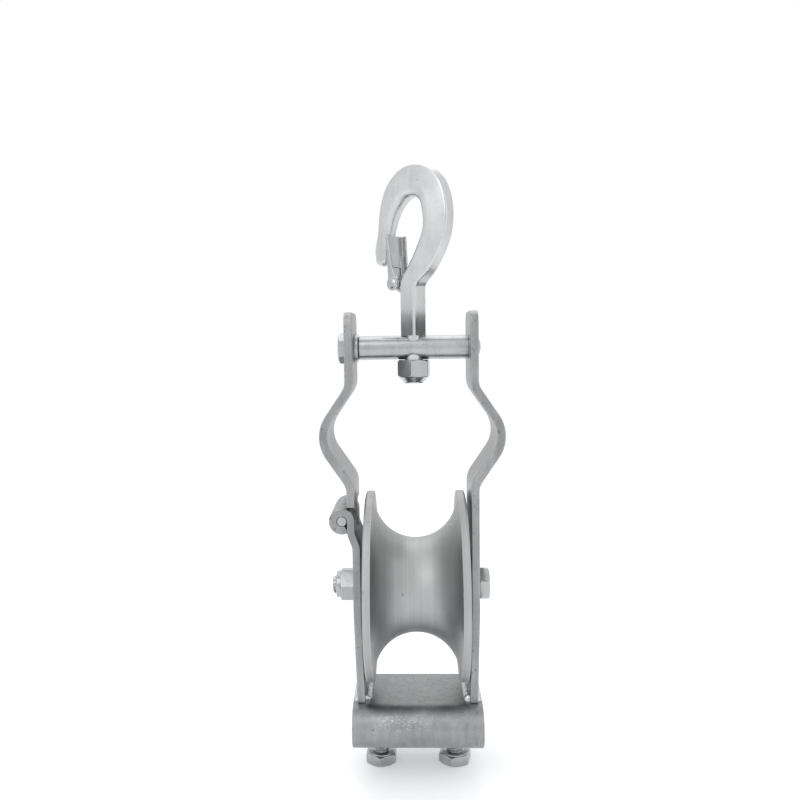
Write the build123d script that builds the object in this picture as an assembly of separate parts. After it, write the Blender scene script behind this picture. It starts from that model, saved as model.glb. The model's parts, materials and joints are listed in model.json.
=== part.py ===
from build123d import *
import os
from math import asin, cos, radians, sin, sqrt, tan

# Stringing block: a grooved aluminium sheave in a flat-bar frame, with a clamp for a
# crossarm below, a swivelling hook above, and a hinged side arm that lets the conductor in.
# Millimetres. The origin is the middle of the clamp's seat, where the block rests on the
# crossarm. X runs along the sheave's axle with the opening arm at -X, Y runs along the
# conductor with the clamp's mouth at +Y, and Z points up.

# ---------------------------------------------------------------- driving dimensions

# crossarm clamp, bent from plate
clamp_thickness = 6.0
clamp_length = 81.0
clamp_mouth = 15.0
clamp_hole_spacing = 48.0
clamp_corner_rounding = 3.0

# clamp bolts
clamp_bolt_radius = 6.0
clamp_bolt_length = 25.0
clamp_bolt_head_gap = 14.2
clamp_bolt_turns = (27.0, 16.0)

# sheave
sheave_radius = 60.0
sheave_width = 63.0
groove_radius = 27.0
groove_root_radius = 29.8
sheave_rise = 9.3
rim_rounding = 1.5
hub_radius = 22.0
pocket_outer_radius = 51.0
pocket_depth = 3.0
pocket_fillet = 1.4

# deep-groove ball bearings, one at each end of the hub
bearing_bore_radius = 6.0
bearing_outer_radius = 16.0
bearing_width = 10.0
bearing_recess = 1.0
inner_ring_radius = 9.15
outer_ring_inner_radius = 13.0
ball_radius = 2.976
ball_circle_radius = 11.0
ball_count = 7
race_gap = 0.05
seal_thickness = 0.7
seal_inset = 0.4
hub_bore_radius = 13.6
sleeve_radius = 8.4
spacer_radius = 9.0

# flat bar that both sides are bent from
bar_width = 44.0
bar_thickness = 5.0
side_gap = 2.8
toe_in = 1.7
toe_in_height = 57.0
toe_in_radius = 200.0
arm_top_rounding = 8.0

# the bowed part of both arms, measured up from the axle
belly_height = 98.0
belly_half_length = 30.2
belly_vertex = 20.6
belly_radius = 21.0
shoulder_radius = 13.0
arm_top_above_crossbar = 22.2

# hinge of the opening arm
gate_inner = 37.4
hinge_height = 45.9
hinge_pin_radius = 3.0
knuckle_gap = 0.35
knuckle_relief = 0.5
knuckle_wrap = 302.0
joggle_length = 8.0
joggle_radius = 12.0
pin_end_rounding = 0.5

# crossbar
crossbar_height = 152.4
crossbar_radius = 7.5
crossbar_stud_radius = 5.0
crossbar_dome_radius = 8.0
crossbar_dome_height = 3.0
crossbar_chamfer = 0.8
crossbar_nut_flats = 17.0
crossbar_nut_height = 5.0
lock_washer_radius = 9.05
lock_washer_thickness = 2.5
lock_washer_split = 1.6
lock_washer_split_lean = 20.0
gate_hole_clearance = 0.6

# axle
axle_radius = 6.0
axle_bolt_length = 93.0
m12_flats = 19.0
m12_head_height = 7.5
thread_end_chamfer = 0.9
hexagon_chamfer_angle = 30.0
axle_head_turn = 22.5
axle_nut_turn = 38.0
axle_nut_hex_height = 9.4
axle_nut_collar_height = 2.6
axle_nut_collar_radius = 8.4
axle_nut_collar_rounding = 0.9
axle_insert_height = 2.2

# hook, drawn in its own plane: e runs from the mouth to the back, v runs up from the crossbar
hook_turn = 41.0
hook_neck = 12.0
hook_neck_top = 36.0
hook_corner = 1.5
hook_shank_radius = 6.0
hook_nut_height = 10.8
hook_nut_turn = 37.6
hook_shank_below_nut = 3.8
hook_end_slant = 9.0
hook_nut_weld_height = 3.2
hook_nut_weld_radius = 9.4
hook_nut_weld_foot = 6.6
hook_saddle_thickness = 16.0
hook_rim_thickness = 8.0
hook_tip_thickness = 10.0
hook_inner_corner = 6.2
hook_tip_reach = 5.0
hook_tip_shares = (1.0, 0.93, 0.55)

# stations up the hook: e, v, heading of the centre line in degrees from +e, width across the
# bowl, thickness inside, thickness at the rim, rounding of the inner corners
hook_stations = [
    (0.0, hook_neck_top, 90, hook_neck, hook_neck, hook_neck, hook_corner),
    (2.3, 43.0, 77, 14.0, hook_neck, 10.5, 2.4),
    (8.2, 50.4, 61, 16.0, hook_neck, 9.0, 4.0),
    (14.7, 60.1, 56, 17.8, 14.0, hook_rim_thickness, 5.2),
    (19.6, 71.0, 69, 18.8, 15.0, hook_rim_thickness, 5.8),
    (20.4, 82.0, 92, 19.6, 15.5, hook_rim_thickness, 6.1),
    (15.4, 97.0, 134, 19.8, hook_saddle_thickness, hook_rim_thickness, hook_inner_corner),
    (1.2, 103.2, 180, 19.8, hook_saddle_thickness, hook_rim_thickness, hook_inner_corner),
    (-12.1, 96.3, 223, 17.0, hook_saddle_thickness, hook_rim_thickness, 5.9),
    (-18.4, 83.7, 262, 12.8, 15.0, hook_rim_thickness, 5.4),
    (-21.6, 70.5, 264, 10.3, 12.5, hook_rim_thickness, 4.6),
    (-23.7, 57.5, 262, 9.4, hook_tip_thickness, hook_rim_thickness, 3.6),
]

# latch across the hook's mouth, with its spring
latch_pivot = (-11.0, 40.4)
latch_boss_thickness = 6.0
latch_boss_radius = 3.6
latch_boss_drop = 8.0
latch_boss_rise = 6.0
latch_inner_width = 12.8
latch_sheet = 1.2
latch_length = 30.8
latch_lean = 3.5
latch_web_offset = 3.0
latch_web_start = 5.0
latch_ear_radius = 4.4
latch_flange = 4.4
latch_front_flange = 3.2
latch_slot_width = 1.2
latch_slot_top = 18.4
latch_slot_inset = 1.8
latch_flange_foot = 11.4
latch_rivet_radius = 1.6
latch_rivet_head_radius = 3.1
latch_rivet_head_height = 1.0
spring_wire_radius = 0.45
spring_turns = 2
spring_reach = 11.0
spring_coil_share = 0.9

# welds between the side plates and the clamp
weld_leg = 4.2
weld_outer_leg = 2.6
weld_end_gap = 4.0

# clearances
slip_fit = 0.03
running_fit = 0.08
free_gap = 0.3
edge_break = 0.6
washer_face_share = 0.96

# cutting pieces are made this long, to pass right through whatever they cut
through = 150.0
overlap = 1.0
near = 0.01

# ---------------------------------------------------------------- positions that follow

seat_top = clamp_thickness
lower_leg_top = -clamp_mouth
lower_leg_bottom = lower_leg_top - clamp_thickness
axle_z = seat_top + sheave_rise + sheave_radius
crossbar_z = axle_z + crossbar_height
hinge_z = axle_z + hinge_height
arm_top_z = crossbar_z + arm_top_above_crossbar
cheek_inner = sheave_width / 2 + side_gap
cheek_outer = cheek_inner + bar_thickness
cheek_middle = cheek_inner + bar_thickness / 2
gate_middle = gate_inner + bar_thickness / 2
gate_outer = gate_inner + bar_thickness
knuckle_bore = hinge_pin_radius + running_fit
knuckle_middle = knuckle_bore + bar_thickness / 2
knuckle_outer = knuckle_bore + bar_thickness
hinge_x = -(gate_middle + knuckle_middle)
knuckle_length = (bar_width - 2 * knuckle_gap) / 3
crossbar_left = -(gate_inner - lock_washer_thickness)
crossbar_right = cheek_inner
bearing_outer_face = sheave_width / 2 - bearing_recess
bearing_inner_face = bearing_outer_face - bearing_width
hook_pivot_e, hook_pivot_v = latch_pivot


# ---------------------------------------------------------------- helpers

def along_x(shape, x):
    """Turns a shape drawn along +Z so that it lies along +X, and starts it at x."""
    return Pos(x, 0, 0) * Rot(0, 90, 0) * shape


def tube(outer, inner, length):
    """A ring or sleeve that stands on Z = 0."""
    ring = Circle(outer) - Circle(inner)
    return extrude(ring, length)


def hexagon(across_flats, height, turn=0.0, both_ends=False):
    """A hexagon prism on Z = 0 whose corners are turned off by a 30 degree chamfer."""
    corner = across_flats / sqrt(3)
    flat = across_flats / 2 * washer_face_share
    drop = (corner - flat) * tan(radians(hexagon_chamfer_angle))
    foot = [(flat, 0), (corner, drop)] if both_ends else [(corner, 0)]
    outline = [(0, 0), *foot, (corner, height - drop), (flat, height), (0, height)]
    envelope = revolve(Plane.XZ * make_face(Polyline(*outline, close=True)), Axis.Z)
    prism = extrude(RegularPolygon(corner, 6), height)
    return Rot(0, 0, turn) * (prism & envelope)


def bolt(radius, length, flats, head_height, turn):
    """A hexagon bolt: the head hangs below Z = 0 and the shank stands on it."""
    head = Rot(180, 0, 0) * hexagon(flats, head_height, turn)
    shank = extrude(Circle(radius), length)
    shank = chamfer(shank.edges().group_by(Axis.Z)[-1], thread_end_chamfer)
    return head + shank


def flat_bar(path):
    """The flat bar swept along a path drawn in the XZ plane."""
    start = Plane(origin=path @ 0, x_dir=(1, 0, 0), z_dir=path % 0)
    start = Plane(origin=path @ 0, x_dir=start.z_dir.cross(Vector(0, 1, 0)), z_dir=start.z_dir)
    return sweep(start * Rectangle(bar_thickness, bar_width), path)


def slab(z_low, z_high, y_low, y_high):
    """A block over all X, used to cut the bar between two heights and two depths."""
    size = (2 * through, y_high - y_low, z_high - z_low)
    return Pos(0, (y_low + y_high) / 2, (z_low + z_high) / 2) * Box(*size)


def round_top(arm):
    """Rounds the two upper corners of an arm."""
    across = arm.edges().filter_by(Axis.X).group_by(Axis.Z)[-1]
    return fillet(across, arm_top_rounding)


def belly_points(side, middle):
    """Corner points of the bowed stretch of an arm, from the lowest to the highest."""
    z = axle_z + belly_height
    return [
        (side * middle, 0, z - belly_half_length),
        (side * (middle + belly_vertex), 0, z),
        (side * middle, 0, z + belly_half_length),
    ]


def in_hook_plane(shape):
    """Moves a shape drawn with e along X and v along Z to the hook's place on the crossbar."""
    return Pos(0, 0, crossbar_z) * Rot(0, 0, -hook_turn) * shape


# ---------------------------------------------------------------- clamp

def crossarm_clamp():
    """Plate bent to a U on its side: the upper leg is the seat, the lower leg holds the bolts."""
    half = bar_width / 2
    inner = clamp_mouth / 2
    outer = inner + clamp_thickness
    middle = lower_leg_top + inner
    profile = make_face([
        Line((half, 0), (-half, 0)),
        ThreePointArc((-half, 0), (-half - inner, middle), (-half, lower_leg_top)),
        Line((-half, lower_leg_top), (half, lower_leg_top)),
        Line((half, lower_leg_top), (half, lower_leg_bottom)),
        Line((half, lower_leg_bottom), (-half, lower_leg_bottom)),
        ThreePointArc((-half, lower_leg_bottom), (-half - outer, middle), (-half, seat_top)),
        Line((-half, seat_top), (half, seat_top)),
        Line((half, seat_top), (half, 0)),
    ])
    clamp = extrude(Plane.YZ * profile, clamp_length / 2, both=True)
    ends = clamp.edges().filter_by(Axis.Z).group_by(Axis.Y)[-1].group_by(Axis.Z)[0]
    clamp = fillet(ends, clamp_corner_rounding)
    hole = Cylinder(clamp_bolt_radius + running_fit, 3 * clamp_thickness)
    for x in (-clamp_hole_spacing / 2, clamp_hole_spacing / 2):
        clamp -= Pos(x, 0, lower_leg_bottom) * hole
    return clamp


def clamp_bolt(side, turn):
    """One clamp bolt, screwed up through the lower leg, with its tip clear of the seat."""
    piece = bolt(clamp_bolt_radius, clamp_bolt_length, m12_flats, m12_head_height, turn)
    return Pos(side * clamp_hole_spacing / 2, 0, lower_leg_bottom - clamp_bolt_head_gap) * piece


def weld_beads(cheek, arm, clamp):
    """Fillet welds along the foot of each side plate: one inside and one outside."""
    beads = []
    foot = cheek_inner - toe_in
    run = bar_width - 2 * weld_end_gap
    for side in (-1, 1):
        for face, outward, leg in (
            (foot, -1, weld_leg), (foot + bar_thickness, 1, weld_outer_leg),
        ):
            start = side * (face - outward * overlap)
            tip = side * (face + outward * leg)
            low, high = seat_top - overlap, seat_top + leg
            section = make_face(Polyline((start, low), (tip, low), (tip, seat_top),
                                         (side * face, high), (start, high), close=True))
            bead = extrude(Plane.XZ * section, run / 2, both=True)
            bead = bead - cheek - arm - clamp
            beads.append(bead.solids().sort_by(SortBy.VOLUME)[-1])
    return Compound(beads)


# ---------------------------------------------------------------- side plates and gate

def foot_points(side):
    """The foot of a side plate: it leans in towards the clamp, then stands upright."""
    return [
        (side * (cheek_middle - toe_in), 0, seat_top - overlap),
        (side * cheek_middle, 0, seat_top + toe_in_height),
    ]


def axle_hole():
    return Pos(0, 0, axle_z) * Rot(0, 90, 0) * Cylinder(axle_radius + running_fit, through)


def fixed_arm():
    """The one-piece side: foot, straight plate, bowed arm and the head that holds the crossbar."""
    points = foot_points(1) + belly_points(1, cheek_middle) + [(cheek_middle, 0, arm_top_z)]
    radii = [toe_in_radius, shoulder_radius, belly_radius, shoulder_radius]
    arm = flat_bar(FilletPolyline(*points, radius=radii))
    arm -= slab(0, seat_top, -bar_width, bar_width)
    arm = round_top(arm) - axle_hole()
    hole = Rot(0, 90, 0) * Cylinder(crossbar_stud_radius + slip_fit, 4 * bar_thickness)
    return arm - Pos(cheek_middle, 0, crossbar_z) * hole


def hinge_cheek():
    """The lower half of the opening side: its top edge is rolled outward round the hinge pin."""
    joggle_low = hinge_z - knuckle_outer - joggle_length
    points = foot_points(-1) + [
        (-cheek_middle, 0, joggle_low),
        (-gate_middle, 0, joggle_low + joggle_length),
        (-gate_middle, 0, hinge_z),
    ]
    strip = FilletPolyline(*points, radius=[toe_in_radius, joggle_radius, joggle_radius])
    roll = hinge_roll(knuckle_wrap)
    cheek = flat_bar(strip) + flat_bar(roll)
    notch = knuckle_length / 2 + knuckle_gap
    cheek -= slab(hinge_z - knuckle_outer - knuckle_relief, arm_top_z, -notch, notch)
    cheek -= slab(0, seat_top, -bar_width, bar_width)
    return cheek - axle_hole()


def hinge_roll(wrap):
    """Centre line of a knuckle, from the face of the bar round the hinge pin."""
    centre = Plane(origin=(hinge_x, 0, hinge_z), x_dir=(1, 0, 0), z_dir=(0, -1, 0))
    return centre * CenterArc((0, 0), knuckle_middle, 0, wrap)


def gate_arm():
    """The opening arm: bowed like the fixed one, with a middle tongue rolled round the pin."""
    points = [(-gate_middle, 0, hinge_z)] + belly_points(-1, gate_middle)
    points += [(-gate_middle, 0, arm_top_z)]
    arm = flat_bar(FilletPolyline(*points, radius=[shoulder_radius, belly_radius, shoulder_radius]))
    arm += flat_bar(hinge_roll(-knuckle_wrap))
    half = knuckle_length / 2
    low, high = hinge_z - 2 * knuckle_outer, hinge_z + knuckle_outer + knuckle_relief
    arm -= slab(low, high, half, bar_width)
    arm -= slab(low, high, -bar_width, -half)
    hole = Rot(0, 90, 0) * Cylinder(crossbar_stud_radius + gate_hole_clearance, 4 * bar_thickness)
    return round_top(arm) - Pos(-gate_middle, 0, crossbar_z) * hole


def hinge_pin():
    """Plain pin, flush with both ends of the barrel."""
    pin = Cylinder(hinge_pin_radius, bar_width)
    pin = fillet(pin.edges(), pin_end_rounding)
    return Pos(hinge_x, 0, hinge_z) * Rot(90, 0, 0) * pin


# ---------------------------------------------------------------- crossbar

def crossbar():
    """Round bar: a stud at the gate, a spigot riveted over to a dome at the fixed arm."""
    length = crossbar_right - crossbar_left
    bar = extrude(Circle(crossbar_radius), length)
    bar = chamfer(bar.edges().group_by(Axis.Z)[0], crossbar_chamfer)
    stud_length = lock_washer_thickness + bar_thickness + crossbar_nut_height - free_gap
    stud = Pos(0, 0, -stud_length) * extrude(Circle(crossbar_stud_radius), stud_length)
    stud = chamfer(stud.edges().group_by(Axis.Z)[0], edge_break)
    spigot = Pos(0, 0, length) * extrude(Circle(crossbar_stud_radius), bar_thickness)
    dome = Pos(0, 0, length + bar_thickness) * dome_head(crossbar_dome_radius, crossbar_dome_height)
    bar = along_x(bar + stud + spigot + dome, crossbar_left)
    hole = Cylinder(hook_shank_radius + running_fit, 4 * crossbar_radius)
    return Pos(0, 0, crossbar_z) * (bar - hole)


def dome_head(radius, height):
    """A shallow rivet head on Z = 0."""
    ball = (radius ** 2 + height ** 2) / (2 * height)
    half_way = asin(radius / ball) / 2
    shoulder = (ball * sin(half_way), height - ball + ball * cos(half_way))
    profile = make_face([
        Line((0, 0), (radius, 0)),
        ThreePointArc((radius, 0), shoulder, (0, height)),
        Line((0, height), (0, 0)),
    ])
    return revolve(Plane.XZ * profile, Axis.Z)


def lock_washer():
    """Split spring washer between the end of the crossbar and the gate."""
    ring = tube(lock_washer_radius, crossbar_stud_radius + free_gap, lock_washer_thickness)
    middle = (crossbar_stud_radius + lock_washer_radius) / 2
    cut = Box(lock_washer_split, 2 * (lock_washer_radius - crossbar_stud_radius), through)
    split = Pos(0, middle, lock_washer_thickness / 2) * Rot(0, lock_washer_split_lean, 0) * cut
    return Pos(0, 0, crossbar_z) * along_x(ring - split, crossbar_left - lock_washer_thickness)


def crossbar_nut():
    """Thin nut that holds the gate shut on the crossbar's stud."""
    nut = hexagon(crossbar_nut_flats, crossbar_nut_height, 0, both_ends=True)
    nut -= Cylinder(crossbar_stud_radius + gate_hole_clearance, 4 * crossbar_nut_height)
    return Pos(0, 0, crossbar_z) * along_x(nut, -(gate_outer + crossbar_nut_height))


# ---------------------------------------------------------------- sheave and bearings

def sheave():
    """Turned aluminium sheave: a round groove, cast pockets in both sides and bored hub ends."""
    half = sheave_width / 2
    centre = groove_root_radius + groove_radius
    mouth = sqrt(groove_radius ** 2 - (sheave_radius - centre) ** 2)
    outline = make_face([
        Line((-half, 0), (-half, sheave_radius)),
        Line((-half, sheave_radius), (-mouth, sheave_radius)),
        ThreePointArc((-mouth, sheave_radius), (0, groove_root_radius), (mouth, sheave_radius)),
        Line((mouth, sheave_radius), (half, sheave_radius)),
        Line((half, sheave_radius), (half, 0)),
        Line((half, 0), (-half, 0)),
    ])
    rims = outline.vertices().filter_by(lambda v: v.Y > sheave_radius - near)
    outline = fillet(rims.sort_by(Axis.X)[::3], rim_rounding)
    body = revolve(outline, Axis.X)
    for side in (-1, 1):
        ring = tube(pocket_outer_radius, hub_radius, 2 * pocket_depth)
        body -= along_x(ring, side * half - pocket_depth)
    floors = body.edges().filter_by(GeomType.CIRCLE).filter_by(
        lambda e: abs(abs(e.arc_center.X) - (half - pocket_depth)) < near)
    body = fillet(floors, pocket_fillet)
    body -= Rot(0, 90, 0) * Cylinder(hub_bore_radius, through)
    seat = bearing_width + bearing_recess
    for start in (-half, half - seat):
        body -= along_x(extrude(Circle(bearing_outer_radius + slip_fit), seat), start)
    return Pos(0, 0, axle_z) * body


def at_both_bearings(piece):
    """A bearing piece drawn on Z = 0, placed in the left and the right end of the hub."""
    left = Pos(0, 0, axle_z) * along_x(piece, -bearing_outer_face)
    right = Pos(0, 0, axle_z) * along_x(piece, bearing_inner_face)
    return Compound([left.solid(), right.solid()])


def race_groove():
    return Pos(0, 0, bearing_width / 2) * Torus(ball_circle_radius, ball_radius + race_gap)


def bearing_outer_ring():
    return tube(bearing_outer_radius, outer_ring_inner_radius, bearing_width) - race_groove()


def bearing_inner_ring():
    ring = tube(inner_ring_radius, bearing_bore_radius + slip_fit, bearing_width)
    return ring - race_groove()


def bearing_balls():
    """The balls of both bearings, evenly spaced."""
    balls = []
    for x in (-1, 1):
        plane_x = x * (bearing_outer_face - bearing_width / 2)
        for index in range(ball_count):
            spin = Rot(360 / ball_count * index, 0, 0)
            ball = spin * Pos(0, 0, ball_circle_radius) * Sphere(ball_radius)
            balls.append((Pos(plane_x, 0, axle_z) * ball).solid())
    return Compound(balls)


def bearing_seals():
    """Rubber seals, two to a bearing, held in the outer ring."""
    seals = []
    disc = tube(outer_ring_inner_radius - slip_fit, inner_ring_radius + free_gap, seal_thickness)
    insets = (seal_inset, bearing_width - seal_inset - seal_thickness)
    for face in (-bearing_outer_face, bearing_inner_face):
        for inset in insets:
            seals.append((Pos(0, 0, axle_z) * along_x(disc, face + inset)).solid())
    return Compound(seals)


def inner_sleeve():
    """Tube on the axle that keeps the two inner rings apart."""
    sleeve = tube(sleeve_radius, axle_radius + running_fit, 2 * bearing_inner_face)
    return Pos(0, 0, axle_z) * along_x(sleeve, -bearing_inner_face)


def axle_spacer(side):
    """Collar between a side plate and the inner ring beside it."""
    collar = tube(spacer_radius, axle_radius + running_fit, cheek_inner - bearing_outer_face)
    start = bearing_outer_face if side > 0 else -cheek_inner
    return Pos(0, 0, axle_z) * along_x(collar, start)


# ---------------------------------------------------------------- axle

def axle_bolt():
    """The sheave's axle: a long bolt put in through the fixed arm."""
    piece = bolt(axle_radius, axle_bolt_length, m12_flats, m12_head_height, axle_head_turn)
    return Pos(cheek_outer, 0, axle_z) * Rot(0, -90, 0) * piece


def axle_nut():
    """Nylon-insert lock nut: a hexagon with a round collar that grips the insert."""
    nut = hexagon(m12_flats, axle_nut_hex_height, axle_nut_turn)
    collar = Pos(0, 0, axle_nut_hex_height) * extrude(
        Circle(axle_nut_collar_radius), axle_nut_collar_height)
    collar = fillet(collar.edges().group_by(Axis.Z)[-1], axle_nut_collar_rounding)
    nut = nut + collar - Cylinder(axle_radius + slip_fit, through)
    top = axle_nut_hex_height + axle_nut_collar_height
    pocket = Pos(0, 0, top - edge_break - axle_insert_height) * tube(
        axle_insert_radius() + slip_fit, axle_radius, axle_insert_height)
    return placed_axle_nut(nut - pocket)


def axle_insert_radius():
    return (axle_radius + axle_nut_collar_radius) / 2


def axle_nut_insert():
    """Nylon ring inside the nut's collar."""
    top = axle_nut_hex_height + axle_nut_collar_height
    ring = tube(axle_insert_radius(), axle_radius + slip_fit, axle_insert_height)
    return placed_axle_nut(Pos(0, 0, top - edge_break - axle_insert_height) * ring)


def placed_axle_nut(piece):
    return Pos(-cheek_outer, 0, axle_z) * Rot(0, -90, 0) * piece


# ---------------------------------------------------------------- hook

def hook_section(e, v, heading, width, inner_thickness, outer_thickness, corner):
    """One section of the hook: flat sides, a flat rim outside and a rounded inside.

    e, v is its middle, heading the direction of the centre line in degrees from +e.
    """
    along = (cos(radians(heading)), 0, sin(radians(heading)))
    outward = (sin(radians(heading)), 0, -cos(radians(heading)))
    plane = Plane(origin=(e, 0, v), x_dir=outward, z_dir=along)
    half = width / 2
    corners = Polyline(
        (-half, -inner_thickness / 2), (half, -outer_thickness / 2),
        (half, outer_thickness / 2), (-half, inner_thickness / 2), close=True)
    face = make_face(corners)
    inside = face.vertices().filter_by(lambda p: p.X < 0)
    face = fillet(inside, corner)
    rim = face.vertices().filter_by(lambda p: p.X > half - near)
    return plane * fillet(rim, hook_corner)


def hook_bowl():
    """The forged bowl, lofted from the neck over the top to where the tip begins."""
    return loft([hook_section(*station) for station in hook_stations])


def hook_tip():
    """The last few millimetres of the hook, rounded down from the bowl's last section."""
    e, v, heading, width, inside, rim, corner = hook_stations[-1]
    steps = len(hook_tip_shares) - 1
    sections = []
    for step, share in enumerate(hook_tip_shares):
        reach = hook_tip_reach * step / steps
        sections.append(hook_section(
            e + reach * cos(radians(heading)), v + reach * sin(radians(heading)), heading,
            width * share, inside * share, rim * share, corner * share))
    return loft(sections)


def hook():
    """Swivel hook: square neck, round shank, forged bowl and a narrow boss for the latch."""
    shoulder = crossbar_radius + slip_fit
    neck = extrude(RectangleRounded(hook_neck, hook_neck, hook_corner), hook_neck_top - shoulder)
    below = crossbar_radius + free_gap + hook_nut_height + hook_shank_below_nut
    shank = extrude(Circle(hook_shank_radius), below + shoulder + overlap)
    below_end = Pos(0, 0, -through / 2) * Box(through, through, through)
    shank -= Pos(-hook_shank_radius, 0, 0) * Rot(0, hook_end_slant, 0) * below_end
    body = hook_bowl() + hook_tip() + Pos(0, 0, shoulder) * neck + Pos(0, 0, -below) * shank
    body += latch_boss()
    bore = Cylinder(latch_rivet_radius + slip_fit, 4 * latch_inner_width)
    body -= Pos(hook_pivot_e, 0, hook_pivot_v) * Rot(90, 0, 0) * bore
    return in_hook_plane(body)


def hook_nut_weld():
    """Weld that locks the nut to the end of the shank."""
    outline = make_face(Polyline(
        (hook_shank_radius + slip_fit, 0), (hook_nut_weld_radius, 0),
        (hook_nut_weld_foot, hook_nut_weld_height),
        (hook_shank_radius + slip_fit, hook_nut_weld_height), close=True))
    collar = revolve(Plane.XZ * outline, Axis.Z)
    top = crossbar_z - crossbar_radius - free_gap - hook_nut_height
    return Pos(0, 0, top) * Rot(180, 0, 0) * collar


def latch_boss():
    """Narrow boss on the mouth side of the neck, which carries the latch's rivet."""
    eye = Pos(hook_pivot_e, hook_pivot_v) * Circle(latch_boss_radius)
    side = -hook_neck / 2 + hook_corner
    root = Line((side, hook_pivot_v - latch_boss_drop), (side, hook_pivot_v + latch_boss_rise))
    outline = make_hull([*eye.edges(), root])
    return extrude(Plane.XZ * outline, latch_boss_thickness / 2, both=True)


def hook_nut():
    """Nut on the shank under the crossbar, which carries the hook's load."""
    nut = hexagon(m12_flats, hook_nut_height, 0, both_ends=True)
    nut -= Cylinder(hook_shank_radius + slip_fit, through)
    top = crossbar_z - crossbar_radius - free_gap
    return Pos(0, 0, top) * Rot(180, 0, 0) * Rot(0, 0, hook_nut_turn) * nut


# ---------------------------------------------------------------- latch

def latch_flange_outline(depth_top, depth_foot):
    """Side of the latch: an ear round the rivet that runs up beside the web."""
    web = -latch_web_offset
    top = latch_length
    ear = make_face(CenterArc((0, 0), latch_ear_radius, 0, 360))
    blade = make_face(Polyline(
        (web, 0), (web, top), (web + depth_top, top), (web + depth_foot, latch_flange_foot),
        (latch_ear_radius, 0), close=True))
    return ear + blade


def latch():
    """Sheet-metal latch: a slotted web that shuts the mouth and two ears on the rivet."""
    half = latch_inner_width / 2
    web = Pos(-latch_web_offset + latch_sheet / 2, 0, (latch_web_start + latch_length) / 2) * Box(
        latch_sheet, latch_inner_width + 2 * latch_sheet, latch_length - latch_web_start)
    front = extrude(Plane.XZ * latch_flange_outline(latch_sheet, latch_front_flange), latch_sheet)
    back = extrude(Plane.XZ * latch_flange_outline(latch_flange, latch_flange), latch_sheet)
    body = web + Pos(0, -half, 0) * front + Pos(0, half + latch_sheet, 0) * back
    slot_length = latch_slot_top - latch_web_start + overlap
    slot_z = latch_slot_top - slot_length / 2
    for side in (-1, 1):
        slot = Box(2 * latch_sheet, latch_slot_width, slot_length)
        body -= Pos(-latch_web_offset + latch_sheet / 2, side * (half - latch_slot_inset), slot_z) * slot
    bore = Rot(90, 0, 0) * Cylinder(latch_rivet_radius + running_fit, 4 * latch_inner_width)
    return placed_on_rivet(body - bore)


def placed_on_rivet(piece):
    lean = Rot(0, -latch_lean, 0)
    return in_hook_plane(Pos(hook_pivot_e, 0, hook_pivot_v) * lean * piece)


def latch_rivet():
    """Rivet through the hook's boss and both ears."""
    half = latch_inner_width / 2 + latch_sheet + running_fit
    pin = Cylinder(latch_rivet_radius, 2 * half)
    head = dome_head(latch_rivet_head_radius, latch_rivet_head_height)
    rivet = pin + Pos(0, 0, half) * head + Pos(0, 0, -half) * Rot(180, 0, 0) * head
    return placed_on_rivet(Rot(90, 0, 0) * rivet)


def latch_spring():
    """Torsion spring: a coil each side of the boss, joined by a bow that lifts the web."""
    wire = spring_wire_radius
    coil_radius = latch_rivet_radius + running_fit + 2 * wire
    start = latch_boss_thickness / 2 + free_gap + wire
    leg_x = -latch_web_offset + latch_sheet + wire + slip_fit
    leg_foot = sqrt(coil_radius ** 2 - leg_x ** 2)
    across = Rot(90, 0, 0)
    body = Pos(leg_x, 0, spring_reach) * across * Cylinder(wire, 2 * start + 2 * wire)
    for side in (-1, 1):
        for turn in range(spring_turns):
            y = side * (start + turn * 2 * spring_coil_share * wire)
            body += Pos(0, y, 0) * across * Torus(coil_radius, wire)
        leg = Cylinder(wire, spring_reach - leg_foot)
        body += Pos(leg_x, side * start, (spring_reach + leg_foot) / 2) * leg
    return placed_on_rivet(body)


# ---------------------------------------------------------------- build

def build():
    clamp = crossarm_clamp()
    cheek = hinge_cheek()
    arm = fixed_arm()
    return {
        "crossarm_clamp": clamp,
        "hinge_cheek": cheek,
        "fixed_arm": arm,
        "weld_beads": weld_beads(cheek, arm, clamp),
        "clamp_bolt_left": clamp_bolt(-1, clamp_bolt_turns[0]),
        "clamp_bolt_right": clamp_bolt(1, clamp_bolt_turns[1]),
        "gate_arm": gate_arm(),
        "hinge_pin": hinge_pin(),
        "crossbar": crossbar(),
        "crossbar_lock_washer": lock_washer(),
        "crossbar_nut": crossbar_nut(),
        "sheave": sheave(),
        "bearing_outer_rings": at_both_bearings(bearing_outer_ring()),
        "bearing_inner_rings": at_both_bearings(bearing_inner_ring()),
        "bearing_balls": bearing_balls(),
        "bearing_seals": bearing_seals(),
        "axle_sleeve": inner_sleeve(),
        "axle_spacer_left": axle_spacer(-1),
        "axle_spacer_right": axle_spacer(1),
        "axle_bolt": axle_bolt(),
        "axle_nut": axle_nut(),
        "axle_nut_insert": axle_nut_insert(),
        "hook": hook(),
        "hook_nut": hook_nut(),
        "hook_nut_weld": hook_nut_weld(),
        "latch": latch(),
        "latch_rivet": latch_rivet(),
        "latch_spring": latch_spring(),
    }


os.makedirs("parts", exist_ok=True)
for name, shape in build().items():
    export_step(shape, f"parts/{name}.step")
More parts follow.
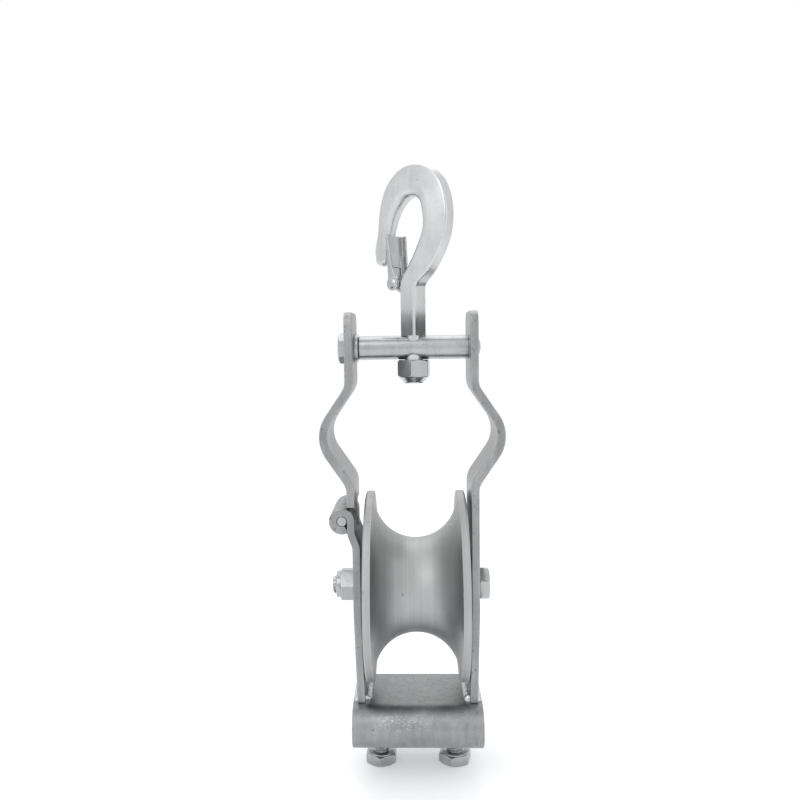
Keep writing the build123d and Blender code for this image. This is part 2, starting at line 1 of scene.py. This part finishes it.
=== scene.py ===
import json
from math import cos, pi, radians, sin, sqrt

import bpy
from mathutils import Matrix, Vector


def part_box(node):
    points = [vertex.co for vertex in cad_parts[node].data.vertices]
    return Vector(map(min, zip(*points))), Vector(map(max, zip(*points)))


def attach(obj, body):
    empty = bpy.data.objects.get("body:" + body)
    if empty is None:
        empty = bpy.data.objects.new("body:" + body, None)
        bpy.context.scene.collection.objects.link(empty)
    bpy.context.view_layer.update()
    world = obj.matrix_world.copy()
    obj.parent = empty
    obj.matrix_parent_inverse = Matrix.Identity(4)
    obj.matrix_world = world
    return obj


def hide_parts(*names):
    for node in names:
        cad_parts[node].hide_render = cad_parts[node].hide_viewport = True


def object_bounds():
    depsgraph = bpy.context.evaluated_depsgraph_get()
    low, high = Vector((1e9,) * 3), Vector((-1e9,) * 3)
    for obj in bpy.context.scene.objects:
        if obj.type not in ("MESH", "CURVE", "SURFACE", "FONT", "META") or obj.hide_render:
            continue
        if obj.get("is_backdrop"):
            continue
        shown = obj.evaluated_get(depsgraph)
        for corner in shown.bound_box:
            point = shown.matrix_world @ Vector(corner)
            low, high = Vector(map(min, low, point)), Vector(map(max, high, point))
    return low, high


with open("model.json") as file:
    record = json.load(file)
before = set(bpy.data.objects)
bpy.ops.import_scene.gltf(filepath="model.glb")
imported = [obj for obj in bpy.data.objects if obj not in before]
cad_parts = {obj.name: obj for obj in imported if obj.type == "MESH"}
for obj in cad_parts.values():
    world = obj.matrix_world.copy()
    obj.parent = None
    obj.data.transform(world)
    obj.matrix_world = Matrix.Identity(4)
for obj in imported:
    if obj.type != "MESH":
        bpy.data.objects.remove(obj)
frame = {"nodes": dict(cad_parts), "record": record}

# %% [markdown]
# # Stringing block
#
# A stringing block carries an overhead conductor while the line is pulled out. The conductor
# runs in a deep round groove in an aluminium sheave. Two flat-bar sides hold the sheave, bow
# outward to let joints in the conductor pass, and meet the crossbar that carries the hook.
# A U-shaped clamp below takes the flange of a steel crossarm.
#
# The solid parts come packed, in metres, in one frame: the origin is the middle of the clamp's
# seat, X runs along the axle, Y along the conductor and Z up. This lesson leaves those parts
# where they are. It gives each one a surface made of shader nodes, and models the details that
# a solid model leaves out: screw threads, weld ripples and rounded edges.

nodes = frame["nodes"]
record = frame["record"]
cad_low, cad_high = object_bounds()
MM = 0.001
print("CAD box (mm):", [round(v / MM, 1) for v in (*cad_low, *cad_high)])

# %% [markdown]
# ## Working helpers
#
# Every new piece is made the same way: a primitive, then edit-mode operations on faces picked
# in code, then modifiers, applied. `closed` merges doubled corners, fills small holes and turns
# the faces of a swept piece outward.

# %% Helpers for modelling


def pick(obj):
    """Leaves only obj selected and active."""
    bpy.ops.object.select_all(action="DESELECT")
    obj.select_set(True)
    bpy.context.view_layer.objects.active = obj


def named(name):
    """Names the object that an operator has just made."""
    obj = bpy.context.active_object
    obj.name = name
    obj.data.name = name
    return obj


def settle(obj):
    """Puts the object's place and size into its vertices, so that it sits at the origin."""
    pick(obj)
    bpy.ops.object.transform_apply(location=True, rotation=True, scale=True)


def apply_all(obj):
    """Applies the modifiers in order."""
    pick(obj)
    for modifier in list(obj.modifiers):
        bpy.ops.object.modifier_apply(modifier=modifier.name)


def closed(obj):
    """Merges doubles, fills small holes and turns the faces outward."""
    pick(obj)
    bpy.ops.object.mode_set(mode="EDIT")
    bpy.ops.mesh.select_all(action="SELECT")
    bpy.ops.mesh.remove_doubles(threshold=1e-7)
    bpy.ops.mesh.fill_holes(sides=0)
    bpy.ops.mesh.select_all(action="SELECT")
    bpy.ops.mesh.normals_make_consistent(inside=False)
    bpy.ops.object.mode_set(mode="OBJECT")


def smooth(obj, angle=35):
    """Smooth shading, with edges sharper than the angle left crisp."""
    pick(obj)
    bpy.ops.object.shade_smooth_by_angle(angle=radians(angle))


def join(name, objs):
    """Joins several meshes into one object."""
    bpy.ops.object.select_all(action="DESELECT")
    for obj in objs:
        obj.select_set(True)
    bpy.context.view_layer.objects.active = objs[0]
    if len(objs) > 1:
        bpy.ops.object.join()
    return named(name)


def bevelled(obj, width, segments=2, angle=40):
    """A small round on every sharp edge."""
    bevel = obj.modifiers.new("edge_round", "BEVEL")
    bevel.width = width
    bevel.segments = segments
    bevel.limit_method = "ANGLE"
    bevel.angle_limit = radians(angle)
    bevel.use_clamp_overlap = False
    return bevel


def size_mm(obj):
    """The object's outer size, for printing."""
    return [round(v / MM, 1) for v in obj.dimensions]


print("helpers ready")

# %% [markdown]
# ## Surfaces
#
# All the steel is zinc plated, but it doesn't look alike. Hot-rolled flat bar keeps the mill's
# uneven skin under the plating, so its tone is patchy and it shows small dark pits. Fasteners
# are machined and come out bright. The hook is forged and tumbled, so it is smooth with a
# slow unevenness. The sheave is turned, and its tool marks are circles round the axle.
#
# Each surface reads the object's own coordinates, so the pattern moves with its part.

# %% Helpers for shader nodes


def add(tree, kind, inputs=None, **settings):
    """Adds a node, sets its options, and sets or links its inputs."""
    node = tree.nodes.new(kind)
    for key, value in settings.items():
        setattr(node, key, value)
    for key, value in (inputs or {}).items():
        if isinstance(value, bpy.types.NodeSocket):
            tree.links.new(value, node.inputs[key])
        else:
            node.inputs[key].default_value = value
    return node


def surface(name, metallic=1.0):
    """A new material with its tree, its main shader and the object's coordinates."""
    material = bpy.data.materials.new(name)
    material.use_nodes = True
    tree = material.node_tree
    shader = tree.nodes["Principled BSDF"]
    shader.inputs["Metallic"].default_value = metallic
    at = add(tree, "ShaderNodeTexCoord").outputs["Object"]
    return material, tree, shader, at


def noise(tree, at, scale, detail=2.0, stretch=(1, 1, 1)):
    """Noise with features of about 1 / scale metres, stretched along an axis if asked."""
    moved = add(tree, "ShaderNodeMapping", {"Vector": at, "Scale": stretch})
    made = add(tree, "ShaderNodeTexNoise",
               {"Vector": moved.outputs[0], "Scale": scale, "Detail": detail})
    return made.outputs["Fac"]


def span(tree, value, low, high, to_low=0.0, to_high=1.0):
    """Maps low..high to another range and holds it there."""
    made = add(tree, "ShaderNodeMapRange",
               {"Value": value, "From Min": low, "From Max": high,
                "To Min": to_low, "To Max": to_high})
    return made.outputs["Result"]


def blend(tree, factor, one, two):
    """Mixes two colours."""
    made = add(tree, "ShaderNodeMix", {0: factor, 6: one, 7: two}, data_type="RGBA")
    return made.outputs[2]


def reckon(tree, operation, one, two=0.0):
    """Arithmetic on two values."""
    return add(tree, "ShaderNodeMath", {0: one, 1: two}, operation=operation).outputs[0]


def bump(tree, height, strength, distance, under=None):
    """Raises the surface by height, on top of another bump if there is one."""
    inputs = {"Height": height, "Strength": strength, "Distance": distance}
    if under is not None:
        inputs["Normal"] = under
    return add(tree, "ShaderNodeBump", inputs).outputs["Normal"]


def edge_wear_and_highlight(tree, radius, grain):
    """A mask of the outer edges, lightened partly as rubbed plating and partly as a painted
    highlight.
    """
    rounded = add(tree, "ShaderNodeBevel", {"Radius": radius}, samples=4).outputs["Normal"]
    plain = add(tree, "ShaderNodeNewGeometry").outputs["Normal"]
    agree = add(tree, "ShaderNodeVectorMath", {0: rounded, 1: plain}, operation="DOT_PRODUCT")
    edge = span(tree, agree.outputs["Value"], 0.995, 0.90)
    return reckon(tree, "MULTIPLY", edge, span(tree, grain, 0.35, 0.6))


def bend_scuffs(tree, at):
    """A mask of fine rubbed streaks high on the clamp's closed bend, left of its middle."""
    place = add(tree, "ShaderNodeSeparateXYZ", {"Vector": at}).outputs
    forward = span(tree, place["Y"], -22 * MM, -25 * MM)
    below = span(tree, place["Z"], 4 * MM, 2 * MM)
    above = span(tree, place["Z"], -8 * MM, -3 * MM)
    left = span(tree, place["X"], -30 * MM, -18 * MM)
    right = span(tree, place["X"], 12 * MM, -4 * MM)
    streaks = span(tree, noise(tree, at, 950, 3, (0.6, 1, 1.3)), 0.54, 0.66)
    where = reckon(tree, "MULTIPLY", forward, reckon(tree, "MULTIPLY", below, above))
    where = reckon(tree, "MULTIPLY", where, reckon(tree, "MULTIPLY", left, right))
    return reckon(tree, "MULTIPLY", reckon(tree, "MULTIPLY", streaks, where), 2.0)


def grey(level, warmth=0.0):
    """A grey, a little warm or cool."""
    return (level * (1 + warmth), level, level * (1 - warmth), 1.0)


print("node helpers ready")

# %% Zinc-plated steel


def zinc(name, level, rough, pits, mill, wear_and_highlight_amount=0.5):
    """Zinc plating over steel. pits is how many dark specks show, mill how uneven it is."""
    material, tree, shader, at = surface(name)
    patches = noise(tree, at, 55, 4)
    drawn = noise(tree, at, 260, 3, (1, 1, 0.12))
    fine = noise(tree, at, 900, 2)
    tone = reckon(tree, "ADD", reckon(tree, "MULTIPLY", patches, 0.6),
                reckon(tree, "MULTIPLY", drawn, 0.4))
    tone = span(tree, tone, 0.38, 0.62)
    dark = grey(level * (1 - mill), -0.015)
    light = grey(level * (1 + mill / 2), -0.01)
    colour = blend(tree, tone, dark, light)
    speck = span(tree, noise(tree, at, 520, 1), 0.735 - 0.03 * pits, 0.765 - 0.03 * pits)
    cluster = span(tree, noise(tree, at, 48, 1), 0.50, 0.58)
    speck = reckon(tree, "MULTIPLY", reckon(tree, "MULTIPLY", speck, cluster), min(1.0, pits))
    colour = blend(tree, speck, colour, grey(level * 0.32, 0.02))
    satin = span(tree, noise(tree, at, 2400, 2), 0.35, 0.65, 0.90, 1.10)
    shade = add(tree, "ShaderNodeCombineXYZ", {"X": satin, "Y": satin, "Z": satin}).outputs[0]
    colour = add(tree, "ShaderNodeMix", {0: 1.0, 6: colour, 7: shade}, data_type="RGBA",
                 blend_type="MULTIPLY").outputs[2]
    colour = blend(tree, reckon(tree, "MULTIPLY", bend_scuffs(tree, at), mill), colour, grey(0.80))
    # The outer edges are lightened: partly rubbed plating, partly a painted highlight.
    wear_and_highlight = reckon(tree, "MULTIPLY", edge_wear_and_highlight(tree, 0.9 * MM, fine), wear_and_highlight_amount)
    colour = blend(tree, wear_and_highlight, colour, grey(min(0.92, level * 1.9)))
    tree.links.new(colour, shader.inputs["Base Color"])
    roughness = span(tree, patches, 0.3, 0.7, rough - 0.07, rough + 0.10)
    roughness = reckon(tree, "ADD", roughness, reckon(tree, "MULTIPLY", speck, 0.25))
    roughness = reckon(tree, "SUBTRACT", roughness, reckon(tree, "MULTIPLY", wear_and_highlight, 0.12))
    tree.links.new(roughness, shader.inputs["Roughness"])
    slow = bump(tree, noise(tree, at, 130, 2), 0.5, 0.25 * mill * MM)
    rolled = bump(tree, drawn, 0.35, 0.12 * mill * MM, slow)
    grain = bump(tree, fine, 0.35, 0.03 * MM, rolled)
    normal = bump(tree, speck, -0.6, 0.05 * MM, grain)
    tree.links.new(normal, shader.inputs["Normal"])
    return material


looks = {
    "galvanised": zinc("galvanised", 0.34, 0.38, 0.9, 0.20, 0.8),
    "zinc": zinc("zinc", 0.44, 0.24, 0.15, 0.14, 0.5),
    "forged_zinc": zinc("forged_zinc", 0.60, 0.30, 0.35, 0.10, 0.6),
    "sheet_zinc": zinc("sheet_zinc", 0.48, 0.22, 0.1, 0.12, 0.4),
    "weld": zinc("weld", 0.58, 0.22, 0.6, 0.30, 0.8),
    "bearing_steel": zinc("bearing_steel", 0.52, 0.12, 0.0, 0.04, 0.0),
    "spring_steel": zinc("spring_steel", 0.50, 0.22, 0.0, 0.10, 0.0),
}
print("zinc surfaces:", sorted(looks))

# %% [markdown]
# ## Turned aluminium
#
# The sheave is cast, then turned. A tool that feeds slowly along the groove leaves fine rings
# round the axle, which spread every highlight across them. The lines are noise read along one
# coordinate only, the distance along the profile, and the shader's anisotropy runs round X.

# %% Turned aluminium


def turned_aluminium(name):
    """Aluminium with tool rings round the X axis, small dark nicks, a dull rub, and outer edges
    lightened as wear and painted highlight.
    """
    material, tree, shader, at = surface(name)
    parts = add(tree, "ShaderNodeSeparateXYZ", {"Vector": at}).outputs
    up = reckon(tree, "SUBTRACT", parts["Z"], axle_z)
    across = reckon(tree, "SQRT", reckon(tree, "ADD", reckon(tree, "MULTIPLY", up, up),
                                     reckon(tree, "MULTIPLY", parts["Y"], parts["Y"])))
    feed = reckon(tree, "ADD", parts["X"], across)
    line = add(tree, "ShaderNodeCombineXYZ", {"X": feed}).outputs[0]
    rings = noise(tree, line, 2600, 3)
    bands = noise(tree, line, 260, 2)
    patches = noise(tree, at, 70, 4)
    colour = blend(tree, span(tree, rings, 0.3, 0.7), grey(0.38, -0.008), grey(0.52, -0.005))
    colour = blend(tree, span(tree, bands, 0.35, 0.75, 0, 0.35), colour, grey(0.32))
    nick = span(tree, noise(tree, at, 300, 1), 0.755, 0.775)
    colour = blend(tree, reckon(tree, "MULTIPLY", nick, 0.7), colour, grey(0.22))
    # The outer edges are lightened: partly rubbed metal, partly a painted highlight.
    wear_and_highlight = reckon(tree, "MULTIPLY", edge_wear_and_highlight(tree, 1.0 * MM, rings), 0.5)
    colour = blend(tree, wear_and_highlight, colour, grey(0.78))
    tree.links.new(colour, shader.inputs["Base Color"])
    roughness = span(tree, patches, 0.3, 0.7, 0.42, 0.52)
    tree.links.new(roughness, shader.inputs["Roughness"])
    shader.inputs["Anisotropic"].default_value = 0.55
    tangent = add(tree, "ShaderNodeTangent", direction_type="RADIAL", axis="X").outputs[0]
    tree.links.new(tangent, shader.inputs["Tangent"])
    lines = bump(tree, rings, 0.35, 0.02 * MM)
    normal = bump(tree, nick, -0.6, 0.08 * MM, lines)
    tree.links.new(normal, shader.inputs["Normal"])
    return material


sheave_low, sheave_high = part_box("sheave")
axle_z = (sheave_low.z + sheave_high.z) / 2
looks["aluminium"] = turned_aluminium("aluminium")
print("axle height (mm):", round(axle_z / MM, 2))

# %% Rubber and nylon


def plain(name, level, rough, warmth=0.0):
    """A moulded, non-metallic surface with a faint grain."""
    material, tree, shader, at = surface(name, metallic=0.0)
    grain = noise(tree, at, 700, 3)
    mottle = span(tree, grain, 0.35, 0.65)
    colour = blend(tree, mottle, grey(level * 0.85, warmth), grey(level, warmth))
    tree.links.new(colour, shader.inputs["Base Color"])
    tree.links.new(span(tree, grain, 0.3, 0.7, rough - 0.06, rough + 0.06),
                   shader.inputs["Roughness"])
    tree.links.new(bump(tree, grain, 0.3, 0.03 * MM), shader.inputs["Normal"])
    return material


looks["seal_rubber"] = plain("seal_rubber", 0.035, 0.55)
looks["nylon"] = plain("nylon", 0.78, 0.42, 0.01)

for row in record["subparts"]:
    node = nodes[row["node"]]
    node.data.materials.clear()
    node.data.materials.append(looks[row["material_slot"]])
print("surfaces:", len(looks), "given to", len(record["subparts"]), "parts")

# %% [markdown]
# ## Broken edges
#
# No edge of a real part is sharp: sheared bar is deburred, and plating rounds what is left. A
# thin round on each edge is what catches the light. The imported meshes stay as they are, so
# the round is a modifier: join the facets' corners, merge the flat facets, round the edges.

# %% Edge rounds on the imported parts
EDGE_ROUND = {
    "crossarm_clamp": 0.7, "hinge_cheek": 0.6, "fixed_arm": 0.6, "gate_arm": 0.6,
    "axle_nut": 0.25, "hook_nut": 0.3, "crossbar_nut": 0.3,
    "crossbar_lock_washer": 0.25, "crossbar": 0.25, "latch": 0.3,
    "axle_spacer_left": 0.2, "axle_spacer_right": 0.2,
}
for name, node in nodes.items():
    pick(node)
    bpy.ops.mesh.customdata_custom_splitnormals_clear()
    node.data.shade_smooth()
    weld = node.modifiers.new("weld", "WELD")
    weld.merge_threshold = 1e-6
    if name in EDGE_ROUND:
        flat = node.modifiers.new("merge_flats", "DECIMATE")
        flat.decimate_type = "DISSOLVE"
        flat.angle_limit = radians(0.6)
        bevelled(node, EDGE_ROUND[name] * MM, 2, 38)
    else:
        split = node.modifiers.new("crisp", "EDGE_SPLIT")
        split.split_angle = radians(38)
    weigh = node.modifiers.new("weigh", "WEIGHTED_NORMAL")
    weigh.keep_sharp = True
print("edges rounded on", len(EDGE_ROUND), "parts")

# %% [markdown]
# ## Screw threads
#
# The clamp bolts and the axle bolt carry metric threads. A thread is one triangular section
# carried along a helix: it moves up by one pitch each turn. Blender's Screw modifier does
# just that to a three-cornered ring. Its foot is sunk into a plain core, so the two read as
# one cut screw.

# %% A threaded hexagon bolt


def thread(name, crest, depth, pitch, start, length, steps=40):
    """A helical ridge round Z, from start over length, with its foot sunk in the core."""
    turns = int(length / pitch) - 1
    bpy.ops.mesh.primitive_circle_add(vertices=3, radius=1.0, fill_type="NOTHING")
    ridge = named(name)
    ridge.rotation_euler = (pi / 2, 0, 0)
    settle(ridge)
    pick(ridge)
    bpy.ops.object.mode_set(mode="EDIT")
    bpy.ops.mesh.select_all(action="SELECT")
    bpy.ops.transform.rotate(value=-pi / 2, orient_axis="Y", center_override=(0, 0, 0))
    bpy.ops.object.mode_set(mode="OBJECT")
    reach = max(v.co.x for v in ridge.data.vertices)
    foot = min(v.co.x for v in ridge.data.vertices)
    tall = max(v.co.z for v in ridge.data.vertices)
    if abs(foot) > reach:
        ridge.scale.x = -1
        reach, foot = -foot, -reach
    ridge.scale.x *= (depth * 1.15) / (reach - foot)
    ridge.scale.z = pitch * 0.49 / tall
    ridge.location = (crest - reach * depth * 1.15 / (reach - foot), 0, start + pitch * 0.6)
    settle(ridge)
    screw = ridge.modifiers.new("helix", "SCREW")
    screw.axis = "Z"
    screw.angle = 2 * pi
    screw.screw_offset = pitch
    screw.iterations = turns
    screw.steps = steps
    screw.render_steps = steps
    screw.use_merge_vertices = False
    apply_all(ridge)
    closed(ridge)
    return ridge


def core(name, radius, low, high, chamfer, segments=64):
    """A round bar from low to high, with a chamfer round its far end."""
    bpy.ops.mesh.primitive_cylinder_add(vertices=segments, radius=radius, depth=high - low,
                                        location=(0, 0, (low + high) / 2))
    bar = named(name)
    settle(bar)
    bpy.ops.object.mode_set(mode="EDIT")
    bpy.ops.mesh.select_all(action="DESELECT")
    bpy.ops.object.mode_set(mode="OBJECT")
    for face in bar.data.polygons:
        face.select = face.normal.z > 0.9
    bpy.ops.object.mode_set(mode="EDIT")
    bpy.ops.mesh.bevel(offset=chamfer, segments=1)
    bpy.ops.object.mode_set(mode="OBJECT")
    return bar


def hex_head(name, across_flats, height, washer_radius, washer_height, turn):
    """A hexagon head below Z = 0: corners turned off underneath, a washer face on top."""
    corner = across_flats / sqrt(3)
    bpy.ops.mesh.primitive_cylinder_add(vertices=6, radius=corner, depth=height - washer_height,
                                        location=(0, 0, -(height + washer_height) / 2),
                                        rotation=(0, 0, radians(30) + turn))
    head = named(name)
    settle(head)
    bpy.ops.mesh.primitive_cone_add(vertices=96, radius1=across_flats / 2 * 0.95,
                                    radius2=across_flats / 2 * 0.95 + height * 1.732,
                                    depth=height, location=(0, 0, -height / 2))
    under = named(name + "_turned")
    settle(under)
    bpy.ops.mesh.primitive_cone_add(vertices=96, radius2=across_flats / 2 * 0.98,
                                    radius1=across_flats / 2 * 0.98 + height * 1.732,
                                    depth=height, location=(0, 0, -height / 2 - washer_height))
    over = named(name + "_faced")
    settle(over)
    for cutter in (under, over):
        cut = head.modifiers.new("turned", "BOOLEAN")
        cut.operation = "INTERSECT"
        cut.object = cutter
        cut.solver = "EXACT"
        pick(head)
        bpy.ops.object.modifier_apply(modifier=cut.name)
        bpy.data.objects.remove(cutter)
    bpy.ops.mesh.primitive_cylinder_add(vertices=96, radius=washer_radius, depth=2 * washer_height,
                                        location=(0, 0, -washer_height))
    washer = named(name + "_washer")
    settle(washer)
    return [head, washer]


def threaded_bolt(name, stands_for, axis, start, turn, thread_from, flats, head_height, radius,
                  pitch, length, material, body):
    """A bolt whose bearing face is at start, with its shank along axis."""
    depth = 0.6 * pitch
    parts = hex_head(name, flats, head_height, flats * 0.47, 0.5 * MM, turn)
    for part in parts:
        bevelled(part, 0.18 * MM, 2, 25)
        apply_all(part)
    if thread_from > 0:
        parts.append(core(name + "_shank", radius, -0.5 * MM, thread_from, 0.3 * MM))
    parts.append(core(name + "_core", radius - depth * 0.95, -0.5 * MM, length, 0.35 * MM))
    parts.append(thread(name + "_ridge", radius, depth, pitch, thread_from, length - thread_from))
    made = join(name, parts)
    made.rotation_mode = "QUATERNION"
    made.rotation_quaternion = Vector(axis).to_track_quat("Z", "Y")
    made.location = start
    settle(made)
    smooth(made, 30)
    made.data.materials.clear()
    made.data.materials.append(looks[material])
    for face in made.data.polygons:
        face.material_index = 0
    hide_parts(stands_for)
    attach(made, body)
    print(name, size_mm(made), "mm,", len(made.data.polygons), "faces")
    return made


# %% Clamp bolts and axle bolt
M12_RADIUS = 6 * MM
M12_PITCH = 1.75 * MM
M12_HEAD = 7.5 * MM
M12_FLATS = 19 * MM
AXLE_THREAD_LENGTH = 30 * MM
CLAMP_BOLT_TURNS = (("left", 27), ("right", 16))
AXLE_BOLT_TURN = 22.5

for side, turn in CLAMP_BOLT_TURNS:
    name = "clamp_bolt_" + side
    lo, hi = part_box(name)
    start = Vector(((lo.x + hi.x) / 2, (lo.y + hi.y) / 2, lo.z + M12_HEAD))
    threaded_bolt("threaded_" + name, name, (0, 0, 1), start, radians(turn), 0.0, M12_FLATS,
                  M12_HEAD, M12_RADIUS, M12_PITCH, hi.z - start.z, "zinc", name)

lo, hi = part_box("axle_bolt")
start = Vector((hi.x - M12_HEAD, 0, axle_z))
length = start.x - lo.x
threaded_bolt("threaded_axle_bolt", "axle_bolt", (-1, 0, 0), start, radians(AXLE_BOLT_TURN),
              length - AXLE_THREAD_LENGTH, M12_FLATS, M12_HEAD, M12_RADIUS, M12_PITCH, length,
              "zinc", "frame")

# %% [markdown]
# ## Weld beads
#
# The side plates are welded to the clamp inside and outside. A hand-run bead is a row of
# small overlapping pools, each one frozen as the next was laid. One squashed ball stands for
# a pool; an array lays the row, and a voxel remesh melts it into one skin.

# %% Rippled weld beads
POOL_STEP = 2.1 * MM


def weld_islands(node):
    """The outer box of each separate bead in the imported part."""
    bpy.ops.object.select_all(action="DESELECT")
    copy = node.copy()
    copy.data = node.data.copy()
    copy.modifiers.clear()
    bpy.context.scene.collection.objects.link(copy)
    copy.parent = None
    for key in list(copy.keys()):
        del copy[key]
    pick(copy)
    bpy.ops.object.mode_set(mode="EDIT")
    bpy.ops.mesh.select_all(action="SELECT")
    bpy.ops.mesh.remove_doubles(threshold=1e-6)
    bpy.ops.mesh.separate(type="LOOSE")
    bpy.ops.object.mode_set(mode="OBJECT")
    boxes = []
    for piece in list(bpy.context.selected_objects):
        points = [v.co.copy() for v in piece.data.vertices]
        boxes.append((Vector(map(min, *points)), Vector(map(max, *points))))
        bpy.data.objects.remove(piece)
    return boxes


def weld_bead(name, lo, hi, outward):
    """A row of overlapping pools along Y, in the corner between a side plate and the clamp."""
    corner = Vector((hi.x if outward < 0 else lo.x, 0, lo.z))
    leg = hi.x - lo.x
    count = int((hi.y - lo.y) / POOL_STEP)
    first = -(count - 1) / 2 * POOL_STEP
    bpy.ops.mesh.primitive_uv_sphere_add(segments=24, ring_count=12, radius=1.0,
                                         location=(corner.x, first, corner.z))
    bead = named(name)
    bead.scale = (leg * 0.98, POOL_STEP * 1.25, leg * 0.98)
    bead.rotation_euler = (radians(18) * outward, 0, 0)
    settle(bead)
    row = bead.modifiers.new("row", "ARRAY")
    row.count = count
    row.use_relative_offset = False
    row.use_constant_offset = True
    row.constant_offset_displace = (0, POOL_STEP, 0)
    melt = bead.modifiers.new("melt", "REMESH")
    melt.mode = "VOXEL"
    melt.voxel_size = 0.28 * MM
    calm = bead.modifiers.new("calm", "SMOOTH")
    calm.factor = 0.5
    calm.iterations = 2
    apply_all(bead)
    texture = bpy.data.textures.get("weld_wander") or bpy.data.textures.new("weld_wander", "CLOUDS")
    texture.noise_scale = 4 * MM
    wander = bead.modifiers.new("wander", "DISPLACE")
    wander.texture = texture
    wander.strength = 0.5 * MM
    wander.mid_level = 0.6
    apply_all(bead)
    smooth(bead, 60)
    bead.data.materials.append(looks["weld"])
    return bead


beads = []
for index, (lo, hi) in enumerate(sorted(weld_islands(nodes["weld_beads"]), key=lambda b: b[0].x)):
    middle = (lo.x + hi.x) / 2
    outer = index in (0, 3)
    outward = (1 if middle > 0 else -1) * (1 if outer else -1)
    beads.append(weld_bead("weld_row_%d" % (index + 1), lo, hi, outward))
    print(beads[-1].name, size_mm(beads[-1]), "mm")
bead_rows = join("weld_rows", beads)
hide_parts("weld_beads")
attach(bead_rows, "frame")

# %% [markdown]
# ## Floor, light and camera
#
# The block stands on its two bolt heads on a pale floor. Bright metal shows what is round it, so
# the light is a large soft key from the left, a weaker one from the right, and a pale
# surrounding. The groove is hollow from side to side, so the key on the left lights its right.
# The camera stands close, a little above the middle, and the perspective is as strong as a
# telephone camera's.

# %% Floor and surroundings
bpy.ops.mesh.primitive_plane_add(size=6, location=(0, 0, cad_low.z))
floor = named("floor")
pale = bpy.data.materials.new("pale_floor")
pale.use_nodes = True
matt = pale.node_tree.nodes["Principled BSDF"]
matt.inputs["Base Color"].default_value = (0.90, 0.90, 0.90, 1)
matt.inputs["Roughness"].default_value = 0.9
matt.inputs["Specular IOR Level"].default_value = 0.1
rays = add(pale.node_tree, "ShaderNodeLightPath").outputs
lift = reckon(pale.node_tree, "MAXIMUM", rays["Is Camera Ray"], rays["Is Glossy Ray"])
lift = reckon(pale.node_tree, "MULTIPLY", lift, 0.30)
matt.inputs["Emission Color"].default_value = (1, 1, 1, 1)
pale.node_tree.links.new(lift, matt.inputs["Emission Strength"])
floor.data.materials.append(pale)
floor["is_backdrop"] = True

world = bpy.data.worlds.new("studio")
bpy.context.scene.world = world
world.use_nodes = True
tree = world.node_tree
backdrop = tree.nodes["Background"]
direction = add(tree, "ShaderNodeTexCoord").outputs["Generated"]
height = add(tree, "ShaderNodeSeparateXYZ", {"Vector": direction}).outputs["Z"]
sky = blend(tree, span(tree, height, -0.15, 0.75), (0.30, 0.32, 0.35, 1), (0.88, 0.89, 0.90, 1))
rays = add(tree, "ShaderNodeLightPath").outputs
seen = reckon(tree, "MAXIMUM", rays["Is Camera Ray"], rays["Is Glossy Ray"])
colour = blend(tree, seen, sky, (1, 1, 1, 1))
tree.links.new(colour, backdrop.inputs["Color"])
backdrop.inputs["Strength"].default_value = 1.0


def soft_light(name, place, aim, size, power, tint=(1, 1, 1)):
    """A square soft light that looks at aim."""
    bpy.ops.object.light_add(type="AREA", location=place)
    lamp = bpy.context.active_object
    lamp.name = name
    lamp.data.size = size
    lamp.data.energy = power
    lamp.data.color = tint
    lamp.rotation_mode = "QUATERNION"
    lamp.rotation_quaternion = (Vector(aim) - Vector(place)).to_track_quat("-Z", "Y")
    return lamp


middle = (cad_low + cad_high) / 2
soft_light("key", (-0.45, -0.70, 0.80), middle, 0.8, 2.1)
soft_light("fill", (0.8, -0.35, 0.45), middle, 0.8, 0.6)
soft_light("top", (-0.1, 0.35, 0.95), middle, 0.8, 1.8)

# %% Camera
camera_data = bpy.data.cameras.new("camera")
camera = bpy.data.objects.new("camera", camera_data)
bpy.context.scene.collection.objects.link(camera)
bpy.context.scene.camera = camera
camera_data.sensor_width = 36
camera_data.lens = 35.1
camera_data.shift_x = 0.0166
camera_data.shift_y = -0.0058
camera_data.clip_start = 0.02
camera_data.dof.use_dof = False
PITCH, YAW, ROLL = radians(4.08), radians(1.91), radians(-0.81)
ahead = Vector((-sin(YAW) * cos(PITCH), cos(YAW) * cos(PITCH), -sin(PITCH)))
turned = ahead.to_track_quat("-Z", "Y").to_matrix().to_4x4() @ Matrix.Rotation(ROLL, 4, "Z")
camera.matrix_world = Matrix.Translation((-0.0009, -0.4945, 0.2328)) @ turned
bpy.context.scene.view_settings.view_transform = "Standard"
print("camera at (mm):", [round(v / MM) for v in camera.matrix_world.translation])

# %% Last checks
lowest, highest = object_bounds()
for axis in range(3):
    inside = lowest[axis] > cad_low[axis] - 1e-4 and highest[axis] < cad_high[axis] + 1e-4
    print("XYZ"[axis], round(lowest[axis] / MM, 2), round(highest[axis] / MM, 2), "inside:", inside)
